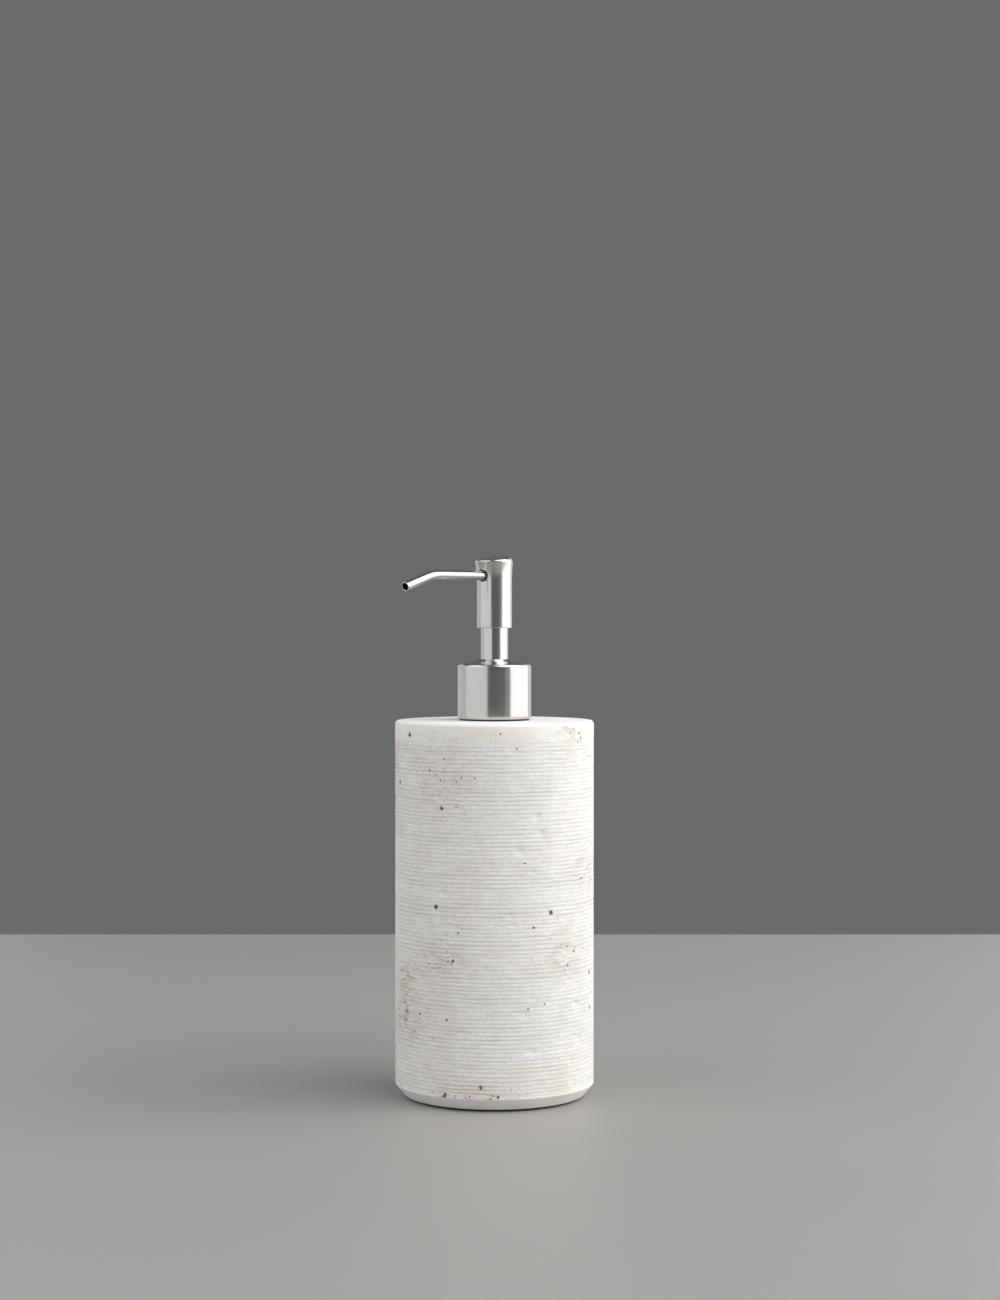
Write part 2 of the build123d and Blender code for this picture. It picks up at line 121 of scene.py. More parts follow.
def build_piece(name, points, faces, material, sharp_angle=35.0):
    """A smooth-shaded mesh object at the origin. Edges sharper than sharp_angle degrees stay crisp."""
    mesh = bpy.data.meshes.new(name)
    mesh.from_pydata(np.asarray(points).tolist(), [], [np.asarray(f).tolist() for f in faces])
    mesh.polygons.foreach_set("use_smooth", np.ones(len(mesh.polygons), bool))
    mesh.set_sharp_from_angle(angle=radians(sharp_angle))
    mesh.materials.append(material)
    mesh.update()
    piece = bpy.data.objects.new(name, mesh)
    bpy.context.scene.collection.objects.link(piece)
    return piece


def rounded_loop(corners, steps=5):
    """A closed outline through corners (r, z, radius): each corner is an arc tangent to both its sides."""
    corners = np.array(corners, float)
    points, radii = corners[:, :2], corners[:, 2]
    outline = []
    for before, here, after, radius in zip(np.roll(points, 1, 0), points, np.roll(points, -1, 0), radii):
        if radius <= 0:
            outline.append(here[None])
            continue
        u = (before - here) / np.linalg.norm(before - here)
        v = (after - here) / np.linalg.norm(after - here)
        half = np.arccos(np.clip(u @ v, -1, 1)) / 2
        centre = here + (u + v) / np.linalg.norm(u + v) * radius / np.sin(half)
        first = here + u * radius / np.tan(half) - centre
        last = here + v * radius / np.tan(half) - centre
        turn = np.arctan2(first[0] * last[1] - first[1] * last[0], first @ last)
        a = np.linspace(0, turn, steps)[:, None]
        swung_r = np.cos(a) * first[0] - np.sin(a) * first[1]
        swung_z = np.sin(a) * first[0] + np.cos(a) * first[1]
        outline.append(centre + np.hstack([swung_r, swung_z]))
    return np.vstack(outline)


def turn_outline(outline, cols):
    """Turns an outline (r, z) about the Z axis: each point of it becomes a circle (r cos a, r sin a, z)."""
    a = np.arange(cols) / cols * 2 * pi
    r, z = outline[:, :1], outline[:, 1:2]
    return np.stack([r * np.cos(a), r * np.sin(a), z + 0 * a], -1).reshape(-1, 3)


def smooth_step(x):
    """3 x^2 - 2 x^3 between 0 and 1, level at both ends."""
    x = np.clip(x, 0, 1)
    return x * x * (3 - 2 * x)


def wavy(x, waves, reach, rng):
    """A smooth random curve of x: a sum of sines of random length and phase, between about -1 and 1."""
    lengths = reach * rng.uniform(0.35, 1.6, waves)
    phases = rng.uniform(0, 2 * pi, waves)
    return np.sin(x[..., None] / lengths * 2 * pi + phases).sum(-1) / np.sqrt(waves * 2)


def top_of(node):
    """Height of the top of a node's box."""
    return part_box(node)[1].z


def bottom_of(node):
    """Height of the foot of a node's box."""
    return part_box(node)[0].z


def radius_of(node):
    """Half the width of a round node."""
    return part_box(node)[1].x


# Settings


def length(name, description, default_mm):
    """A length property whose default is given in millimetres."""
    return bpy.props.FloatProperty(
        name=name, description=description, default=default_mm * MM, unit="LENGTH", precision=5
    )


def colour(name, description, hex_code):
    """A colour property whose default is an sRGB hex value."""
    return bpy.props.FloatVectorProperty(
        name=name,
        description=description,
        default=linear(hex_code),
        size=3,
        min=0.0,
        max=1.0,
        subtype="COLOR",
    )


class StoneSettings(bpy.types.PropertyGroup):
    groove_pitch: length("Groove pitch", "Distance between turned grooves", 1.4)
    groove_depth: length("Groove depth", "Depth of the turned grooves", 0.17)
    smooth_band: length("Smooth band", "Ungrooved height under the top face", 3.4)
    foot_height: length("Foot height", "Height of the smooth chamfer at the foot", 3.9)
    foot_inset: length("Foot inset", "How far the chamfer goes in", 3.2)
    edge_radius: length("Edge radius", "Rounding of the top edge", 1.2)
    ground: colour("Ground", "Pale ground of the stone", "#F6F4F1")
    warm: colour("Warm clouds", "Cream clouds in the stone", "#EEE8E0")
    cool: colour("Cool clouds", "Grey clouds in the stone", "#E9E7E6")
    # Valleys: grey dusting and painted shade in the groove valleys; the same colour marks the speckle and
    # drag streaks.
    shade: colour("Valleys", "Dust in the valleys of the grooves", "#BDB8B4")
    stain: colour("Stain", "Brown stain in grooves and round pits", "#A5876C")
    # Pits: painted shade, the dark inside of each open pit standing in for the shade in the hole.
    pit: colour("Pits", "Inside of the open pits", "#5E5245")


class PumpSettings(bpy.types.PropertyGroup):
    steel: colour("Steel", "Stainless steel", "#CCC9C7")
    wall: length("Steel wall", "Thickness of the drawn steel", 0.42)
    white_plastic: colour("White plastic", "Pump body, stem and piston", "#E8E8E3")
    dark_plastic: colour("Dark plastic", "Cap, neck and head core", "#26262A")
    grey_plastic: colour("Grey plastic", "Core of the head", "#77736E")
    pad: colour("Pad", "Foam pad under the stone", "#2B2A28")


class StageSettings(bpy.types.PropertyGroup):
    azimuth: bpy.props.FloatProperty(
        name="Azimuth", description="Direction of the camera", default=radians(43), subtype="ANGLE"
    )
    distance: length("Distance", "From the object's axis to the camera", 859)
    height: length("Height", "Height of the camera above the floor", 168)
    side: length("Side step", "How far the camera stands to the right", 1.95)
    pitch: bpy.props.FloatProperty(
        name="Pitch", description="How far the camera looks down", default=radians(0.742), subtype="ANGLE"
    )
    lens: bpy.props.FloatProperty(name="Lens", description="Focal length", default=67.5, unit="CAMERA")
    floor: colour("Floor", "Plain pale floor", "#A09D9B")
    wall: colour("Surround", "Plain grey surround", "#686B6A")


# Materials


def mix(tree, share, first, second):
    """The output of a colour mix: first where share is 0, second where it is 1."""
    inputs = {0: share, 6: first, 7: second}
    return add_node(tree, "ShaderNodeMix", inputs, data_type="RGBA").outputs[2]


def ramp(tree, value, low, high, to_low=0.0, to_high=1.0, **settings):
    """The output that goes from to_low to to_high as value goes from low to high."""
    inputs = {"Value": value, "From Min": low, "From Max": high, "To Min": to_low, "To Max": to_high}
    return add_node(tree, "ShaderNodeMapRange", inputs, **settings).outputs[0]


def maths(tree, operation, first, second):
    """The output of one sum on two values."""
    return add_node(tree, "ShaderNodeMath", {0: first, 1: second}, operation=operation).outputs[0]


def noise(tree, place, size_mm, detail=2.0, **inputs):
    """The value of a noise whose features are about size_mm wide."""
    inputs = {"Vector": place, "Scale": per_mm(size_mm), "Detail": detail, **inputs}
    return add_node(tree, "ShaderNodeTexNoise", inputs).outputs["Fac"]


def lying_noise(tree, place, length_mm, height_mm, detail=2.0):
    """The value of a noise whose features lie level: length_mm round the wall and height_mm up it."""
    scale = (per_mm(length_mm), per_mm(length_mm), per_mm(height_mm))
    stretched = add_node(tree, "ShaderNodeMapping", {"Vector": place, "Scale": scale}).outputs[0]
    inputs = {"Vector": stretched, "Scale": 1.0, "Detail": detail}
    return add_node(tree, "ShaderNodeTexNoise", inputs).outputs["Fac"]


# Small pits: mean distance apart and width in mm, share that are open, and how much a stain adds to that.
PIT_FIELDS = ((8.0, 0.85, 0.3, 0.45), (3.2, 0.55, 0.12, 0.6), (1.5, 0.3, 0.1, 0.6))
# The larger single pits in the wall.
PIT_COUNT = 60
PIT_SMALLEST = 0.5 * MM
PIT_WIDEST = 1.3 * MM
PIT_BEND = 1.2 * MM


def draw_pits(stone):
    """Larger single pits drawn at random over the wall: rows of x, y, z and size, most of them small."""
    rng = np.random.default_rng(SEED + 2)
    radius = radius_of("vessel_body")
    angle = rng.uniform(0, 2 * pi, PIT_COUNT)
    z = rng.uniform(bottom_of("vessel_body") + stone.foot_height, top_of("vessel_body"), PIT_COUNT)
    size = PIT_SMALLEST + (PIT_WIDEST - PIT_SMALLEST) * rng.random(PIT_COUNT) ** 2
    return np.column_stack([radius * np.cos(angle), radius * np.sin(angle), z, size]).tolist()


def turned_travertine(stone):
    """Travertine, turned on a lathe and left matt: a pale clouded ground, open pits and stained grooves."""
    material, tree, shader, place = start_material("travertine, turned and honed", Roughness=0.82)
    groove = add_node(tree, "ShaderNodeAttribute", attribute_name="groove").outputs["Fac"]
    stain = add_node(tree, "ShaderNodeAttribute", attribute_name="stain").outputs["Fac"]
    turned = add_node(tree, "ShaderNodeAttribute", attribute_name="turned").outputs["Fac"]
    # Warm and cool clouds some 20 mm wide, as the sediment was laid down.
    clouds = noise(tree, place, 24, 5.0, Roughness=0.6, Distortion=0.8)
    tinted = mix(tree, ramp(tree, clouds, 0.48, 0.7), rgba(stone.ground), rgba(stone.warm))
    clouded = mix(tree, ramp(tree, clouds, 0.5, 0.3), tinted, rgba(stone.cool))
    # Speckle where the tool tore the grain, and fine level streaks that it dragged out.
    speckle = ramp(tree, noise(tree, place, 0.8, 3.0), 0.45, 0.68, 0.0, 0.3)
    mottled = mix(tree, maths(tree, "MULTIPLY", speckle, turned), clouded, rgba(stone.shade))
    drag = ramp(tree, lying_noise(tree, place, 7, 0.5, 3.0), 0.48, 0.75, 0.0, 0.35)
    dragged = mix(tree, maths(tree, "MULTIPLY", drag, turned), mottled, rgba(stone.shade))
    # The valleys of the grooves are painted darker, unevenly: a little grey dusting and painted shade in the
    # valleys.
    valley_dust_and_shade = ramp(tree, lying_noise(tree, place, 12, 1.4, 4.0), 0.32, 0.66, 0.12, 0.62)
    dusted_and_shaded = mix(tree, maths(tree, "MULTIPLY", valley_dust_and_shade, groove), dragged, rgba(stone.shade))
    # Brown stains in patches, strongest as thin lines along the grooves.
    lines = ramp(tree, lying_noise(tree, place, 3.6, 0.5, 3.0), 0.5, 0.72)
    blush = ramp(tree, noise(tree, place, 4, 3.0), 0.38, 0.72, 0.0, 0.4)
    stain_share = maths(tree, "MULTIPLY", maths(tree, "MAXIMUM", lines, blush), stain)
    colour_now = mix(tree, stain_share, dusted_and_shaded, rgba(stone.stain))
    # Open pits: bubbles of three sizes that the cut went through, more of them in the stained patches.
    bent = add_node(tree, "ShaderNodeTexNoise", {"Vector": place, "Scale": per_mm(0.9), "Detail": 2.0})
    bend_size = (PIT_BEND, PIT_BEND, PIT_BEND)
    bend = add_node(
        tree, "ShaderNodeVectorMath", {0: bent.outputs["Color"], 1: bend_size}, operation="MULTIPLY"
    )
    moved = add_node(tree, "ShaderNodeVectorMath", {0: place, 1: bend.outputs[0]}, operation="ADD").outputs[0]
    pits = None
    for cell_mm, widest_mm, share, in_stain in PIT_FIELDS:
        cells = add_node(tree, "ShaderNodeTexVoronoi", {"Vector": moved, "Scale": per_mm(cell_mm)})
        draw = add_node(tree, "ShaderNodeSeparateColor", {0: cells.outputs["Color"]}).outputs[0]
        drawn = maths(tree, "ADD", draw, maths(tree, "MULTIPLY", stain, in_stain))
        size = ramp(tree, drawn, 1 - share, 1.25, 0.0, widest_mm / cell_mm)
        depth = maths(tree, "SUBTRACT", size, cells.outputs["Distance"])
        hole = ramp(tree, depth, 0.0, 0.12 / cell_mm)
        ring = ramp(tree, depth, -0.3 / cell_mm, 0.0, 0.0, 0.5)
        real = maths(tree, "GREATER_THAN", size, 0.1 / cell_mm)
        colour_now = mix(tree, maths(tree, "MULTIPLY", ring, real), colour_now, rgba(stone.stain))
        hole = maths(tree, "MULTIPLY", hole, real)
        # Painted shade: the inside of each pit is painted dark for the shade in the hole.
        colour_now = mix(tree, hole, colour_now, rgba(stone.pit))
        pits = hole if pits is None else maths(tree, "MAXIMUM", pits, hole)
    # The larger single pits, each with a tan rim and a dark inside that is painted shade of the hole.
    for x, y, z, size in draw_pits(stone):
        # The bend moves every point by half its size on average along each axis, so the centre moves too.
        centre = tuple(c + PIT_BEND / 2 for c in (x, y, z))
        gap = add_node(tree, "ShaderNodeVectorMath", {0: moved, 1: centre}, operation="DISTANCE")
        away = gap.outputs["Value"]
        rim = ramp(tree, away, size, 0.3 * size, 0.0, 0.55)
        colour_now = mix(tree, rim, colour_now, rgba(stone.stain))
        hole = ramp(tree, away, 0.62 * size, 0.35 * size)
        # Painted shade: the inside of the pit is painted dark for the shade in the hole.
        colour_now = mix(tree, hole, colour_now, rgba(stone.pit))
        pits = maths(tree, "MAXIMUM", pits, hole)
    tree.links.new(colour_now, shader.inputs["Base Color"])
    # Torn grain: level scars a tenth of a millimetre deep on the turned wall, and a sugar grain everywhere.
    scars = maths(tree, "MULTIPLY", lying_noise(tree, place, 3, 0.5, 3.0), turned)
    sugar = noise(tree, place, 0.5, 2.0)
    rough = maths(tree, "ADD", scars, maths(tree, "MULTIPLY", sugar, 0.35))
    bump = add_node(tree, "ShaderNodeBump", {"Height": rough, "Strength": 0.5, "Distance": 0.16 * MM})
    dent = add_node(
        tree, "ShaderNodeBump",
        {"Height": pits, "Strength": 1.0, "Distance": 0.5 * MM, "Normal": bump.outputs[0]}, invert=True,
    )
    tree.links.new(dent.outputs[0], shader.inputs["Normal"])
    return material


def polished_steel(name, pump, roughness, smudge_mm, run="z"):
    """Stainless steel, drawn and polished to a satin gloss: long reflections, softened by faint smudges."""
    material, tree, shader, place = start_material(name, Metallic=1.0, Base_Color=rgba(pump.steel))
    smudges = add_node(
        tree, "ShaderNodeTexNoise",
        {"Vector": place, "Scale": per_mm(smudge_mm), "Detail": 4.0, "Roughness": 0.6},
    )
    gloss = add_node(
        tree, "ShaderNodeMapRange",
        {
            "Value": smudges.outputs["Fac"], "From Min": 0.3, "From Max": 0.75,
            "To Min": roughness * 0.9, "To Max": roughness * 1.2,
        },
    )
    tree.links.new(gloss.outputs[0], shader.inputs["Roughness"])
    # Draw lines run the way the metal was drawn; they are 0.35 mm apart and hardly a micrometre deep.
    spacing = tuple(per_mm(30) if axis == run else per_mm(0.35) for axis in "xyz")
    along = add_node(tree, "ShaderNodeMapping", {"Vector": place, "Scale": spacing})
    lines = add_node(tree, "ShaderNodeTexNoise", {"Vector": along.outputs[0], "Scale": 1.0, "Detail": 1.0})
    bump = add_node(
        tree, "ShaderNodeBump", {"Height": lines.outputs["Fac"], "Strength": 0.03, "Distance": 0.003 * MM}
    )
    tree.links.new(bump.outputs[0], shader.inputs["Normal"])
    return material


def moulded_plastic(name, base, roughness, grain_mm, transmission=0.0):
    """Injection-moulded polypropylene: an even waxy skin with a fine spark-eroded grain."""
    material, tree, shader, place = start_material(name, IOR=1.49)
    shader.inputs["Transmission Weight"].default_value = transmission
    flow = add_node(tree, "ShaderNodeTexNoise", {"Vector": place, "Scale": per_mm(7), "Detail": 2.0})
    shade = add_node(
        tree, "ShaderNodeMapRange", {"Value": flow.outputs["Fac"], "To Min": 0.0, "To Max": 0.25}
    )
    darker = tuple(c * 0.82 for c in base)
    tone = add_node(
        tree, "ShaderNodeMix", {0: shade.outputs[0], 6: rgba(base), 7: rgba(darker)}, data_type="RGBA"
    )
    tree.links.new(tone.outputs[2], shader.inputs["Base Color"])
    grain = add_node(tree, "ShaderNodeTexNoise", {"Vector": place, "Scale": per_mm(grain_mm), "Detail": 2.0})
    matt = add_node(
        tree, "ShaderNodeMapRange",
        {"Value": grain.outputs["Fac"], "To Min": roughness * 0.85, "To Max": roughness * 1.15},
    )
    tree.links.new(matt.outputs[0], shader.inputs["Roughness"])
    bump = add_node(
        tree, "ShaderNodeBump", {"Height": grain.outputs["Fac"], "Strength": 0.4, "Distance": 0.02 * MM}
    )
    tree.links.new(bump.outputs[0], shader.inputs["Normal"])
    return material


def closed_foam(name, base, cell_mm):
    """Closed-cell foam sheet: matt, with a fine open texture where its cells were cut."""
    material, tree, shader, place = start_material(name, Roughness=0.92)
    cells = add_node(tree, "ShaderNodeTexVoronoi", {"Vector": place, "Scale": per_mm(cell_mm)})
    shade = add_node(
        tree, "ShaderNodeMapRange", {"Value": cells.outputs["Distance"], "To Min": 0.0, "To Max": 0.5}
    )
    darker = tuple(c * 0.5 for c in base)
    tone = add_node(
        tree, "ShaderNodeMix", {0: shade.outputs[0], 6: rgba(base), 7: rgba(darker)}, data_type="RGBA"
    )
    tree.links.new(tone.outputs[2], shader.inputs["Base Color"])
    bump = add_node(
        tree, "ShaderNodeBump", {"Height": cells.outputs["Distance"], "Strength": 0.6, "Distance": 0.1 * MM}
    )
    tree.links.new(bump.outputs[0], shader.inputs["Normal"])
    return material


def finish_nodes(material, *nodes):
    """Gives carried-over CAD nodes a material."""
    for node in nodes:
        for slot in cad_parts[node].material_slots:
            slot.material = material


# Pieces


NECK_FLANGE_OVERHANG = 1.5 * MM
PLUG_LEDGE = 2.4 * MM
GLUE_GAP = 0.1 * MM
STONE_COLS = 236
DENT_COUNT = 90
DENT_BATCH = 10
DEEPEST_CUT = 0.6 * MM
COLLAR_COLS = 160
NECK_COLS = 128
NECK_WALL = 0.4 * MM


def stone_outline(stone):
    """The stone's closed outline (r, z), and for each point how strongly it is grooved.

    The grooved wall has four rows to a groove: valley, flank, crest and flank. A slow random wave moves
    the rows a little up and down, because the grooves were cut by hand feed.
    """
    low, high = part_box("vessel_body")
    plug_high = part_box("vessel_base_plug")[1]
    radius, foot, top = high.x, low.z, high.z
    bore = radius_of("neck_insert") - NECK_FLANGE_OVERHANG
    seat = plug_high.x + GLUE_GAP
    cavity = plug_high.x - PLUG_LEDGE
    cavity_top = bottom_of("neck_insert")
    wall_low = foot + stone.foot_height
    corners = [
        (seat, foot, 0.2 * MM),
        (radius - stone.foot_inset, foot, 0.35 * MM),
        (radius, wall_low, 0.5 * MM),
        (radius, top, stone.edge_radius),
        (bore, top, 0.3 * MM),
        (bore, cavity_top, 0.3 * MM),
        (cavity, cavity_top, 2 * MM),
        (cavity, plug_high.z, 0.2 * MM),
        (seat, plug_high.z, 0.2 * MM),
    ]
    steps = 7
    outline = rounded_loop(corners, steps)
    rng = np.random.default_rng(SEED)
    grooved_height = top - stone.edge_radius - wall_low - stone.smooth_band
    grooves = int(grooved_height / stone.groove_pitch)
    z = wall_low + stone.groove_pitch * np.arange(1, 4 * grooves + 1) / 4
    z = z + 0.09 * stone.groove_pitch * wavy(z, 5, 11 * MM, rng)
    shape = np.tile([1.0, 0.32, 0.0, 0.32], grooves)
    strength = 0.8 + 0.3 * wavy(z, 6, 9 * MM, rng)
    fade = smooth_step((z - wall_low) / (2 * MM)) * smooth_step((z[-1] + 0.4 * MM - z) / (4 * MM))
    wall = np.column_stack([np.full_like(z, radius), z])
    wall_start = 3 * steps  # the three lower corners come before the wall
    groove = np.insert(np.zeros(len(outline)), wall_start, shape * strength * fade)
    return np.insert(outline, wall_start, wall, axis=0), groove


def make_stone_body(stone):
    """The turned stone wall, closed round its cavity.

    Point (a, s): r = outline(s) - groove depth - pits, turned by a about the axis. The groove depth varies
    slowly with a and height. Each pit is a round dent, depth times exp(-(distance / size) ** 4).
    """
    outline, groove = stone_outline(stone)
    cols = STONE_COLS
    points = turn_outline(outline, cols).reshape(len(outline), cols, 3)
    rng = np.random.default_rng(SEED + 1)
    angle = np.arange(cols) / cols * 2 * pi
    radius = radius_of("vessel_body")
    outer = (outline[:, 0] > radius - 0.02 * MM)[:, None]
    z = outline[:, 1][:, None]
    # Slow waves vary the depth of the cut round the wall, and fast shallow ones roughen it.
    uneven = 0.7 + 0.3 * np.sin(3 * angle + 5 * z / radius) * np.sin(5 * angle - 9 * z / radius)
    uneven = uneven + 0.07 * np.sin(41 * angle + 60 * z / radius) * np.sin(67 * angle - 95 * z / radius)
    cut = stone.groove_depth * groove[:, None] * uneven
    low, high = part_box("vessel_body")
    where = rng.uniform(0, 2 * pi, DENT_COUNT)
    level = rng.uniform(low.z + 7 * MM, high.z - 4 * MM, DENT_COUNT)
    size = rng.uniform(0.7, 1.5, DENT_COUNT) * MM
    deep = rng.uniform(0.12, 0.42, DENT_COUNT) * MM
    around = (angle[:, None] - where + pi) % (2 * pi) - pi
    for start in range(0, DENT_COUNT, DENT_BATCH):
        few = slice(start, start + DENT_BATCH)
        d = ((around[None, :, few] * radius) ** 2 + (z[:, :, None] - level[few]) ** 2) / size[few] ** 2
        cut = cut + (deep[few] * np.exp(-(d**2))).sum(-1)
    shrink = 1 - np.where(outer, np.minimum(cut, DEEPEST_CUT), 0) / outline[:, :1]
    points[..., :2] *= shrink[..., None]
    faces = ring_faces(len(outline), cols, True)
    piece = build_piece("stone_body", points.reshape(-1, 3), faces, turned_travertine(stone), 60)
    grooved = (z > low.z + stone.foot_height + MM) & (z < high.z - stone.smooth_band)
    turned = np.where(outer & grooved, 1.0, 0.15)
    fields = {
        "groove": np.repeat(groove, cols),
        "turned": np.repeat(turned, cols),
        "stain": (stain_field(angle[None, :], z) * outer).ravel(),
    }
    for name, values in fields.items():
        attribute = piece.data.attributes.new(name, "FLOAT", "POINT")
        attribute.data.foreach_set("value", values.astype(np.float32))
    return piece


STAIN_COUNT = 22


def stain_field(angle, z):
    """Strength of the stain: a sum of soft patches, strength times exp(-(distance / size) ** 2)."""
    rng = np.random.default_rng(SEED + 3)
    radius = radius_of("vessel_body")
    field = 0.0
    for _ in range(STAIN_COUNT):
        bearing = rng.uniform(0, 2 * pi)
        height = rng.uniform(bottom_of("vessel_body"), top_of("vessel_body"))
        wide = rng.uniform(5, 13) * MM
        tall = rng.uniform(4, 15) * MM
        strength = rng.uniform(0.5, 1.0)
        around = (angle - bearing + pi) % (2 * pi) - pi
        d = (around * radius / wide) ** 2 + ((z - height) / tall) ** 2
        field = field + strength * np.exp(-d)
    return np.minimum(field, 1.0)


FLARE_EDGE = 0.12 * MM
FLARE_WIDTH = 1.7 * MM
FLARE_START = 0.45 * MM
FLARE_RISE = 0.4 * MM
CONE_RISE = 1.4 * MM


def make_collar(pump):
    """Drawn collar, turned about the axis: rounded shoulder, shallow cone and a hollow flare to the neck."""
    low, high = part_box("collar_shell")
    radius, foot, apex = high.x, low.z, high.z
    neck = radius_of("guide_sleeve") + 0.05 * MM
    wall = pump.wall
    shoulder = apex - CONE_RISE
    outline = rounded_loop(
        [
            (radius - wall, foot, 0.45 * wall),
            (radius, foot, 0.45 * wall),
            (radius, shoulder, 1.0 * MM),
            (neck + FLARE_WIDTH, apex - FLARE_START, 2.0 * MM),
            (neck + FLARE_EDGE, apex + FLARE_RISE, 0.4 * FLARE_EDGE),
            (neck, apex + FLARE_RISE, 0.4 * FLARE_EDGE),
            (neck, apex - wall, 0.1 * MM),
            (radius - wall, shoulder - wall, 0.6 * MM),
        ],
        steps=9,
    )
    outline = densify(outline, 1.2 * MM)
    material = polished_steel("stainless steel, drawn and polished", pump, 0.17, 9)
    faces = ring_faces(len(outline), COLLAR_COLS, True)
    return build_piece("steel_collar", turn_outline(outline, COLLAR_COLS), faces, material)


def densify(outline, step):
    """Adds points on the long sides of a closed outline, so that no side is much longer than step."""
    parts = []
    for a, b in zip(outline, np.roll(outline, -1, 0)):
        n = max(1, int(np.linalg.norm(b - a) / step))
        parts.append(a + (b - a) * (np.arange(n) / n)[:, None])
    return np.vstack(parts)


def make_neck_tube(pump):
    """Plain tube with rounded rims, turned about the axis."""
    low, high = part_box("guide_sleeve")
    wall = NECK_WALL
    outline = rounded_loop(
        [
            (high.x - wall, low.z, 0.1 * MM),
            (high.x, low.z, 0.1 * MM),
            (high.x, high.z, 0.18 * MM),
            (high.x - wall, high.z, 0.1 * MM),
        ]
    )
    outline = densify(outline, 1.5 * MM)
    material = polished_steel("stainless steel tube, polished", pump, 0.16, 7)
    faces = ring_faces(len(outline), NECK_COLS, True)
    return build_piece("steel_neck", turn_outline(outline, NECK_COLS), faces, material)


HEAD_RADIUS = 6.22 * MM
HEAD_GROWTH = 0.66 * MM
HEAD_LEAN = 0.36 * MM
HEAD_FLARE = 7.4 * MM
HEAD_TILT = radians(7.0)
HEAD_HEIGHT = 24.5 * MM
HEAD_WALL = 0.44 * MM
HOLE_RADIUS = 2.15 * MM
HOLE_WINDOW_ANGLE = radians(34)
HOLE_WINDOW_HEIGHT = 3.1 * MM


def head_surface(a, z, top):
    """A point on the head's outer skin at angle a from the spout. The flare grows as height to the 1.6."""
    t = np.clip((z - (top - HEAD_FLARE)) / HEAD_FLARE, 0, 1.1)
    r = HEAD_RADIUS + HEAD_GROWTH * t**1.6
    return np.stack([r * np.sin(a), -r * np.cos(a) - HEAD_LEAN * t**1.6, z + 0 * a], -1)


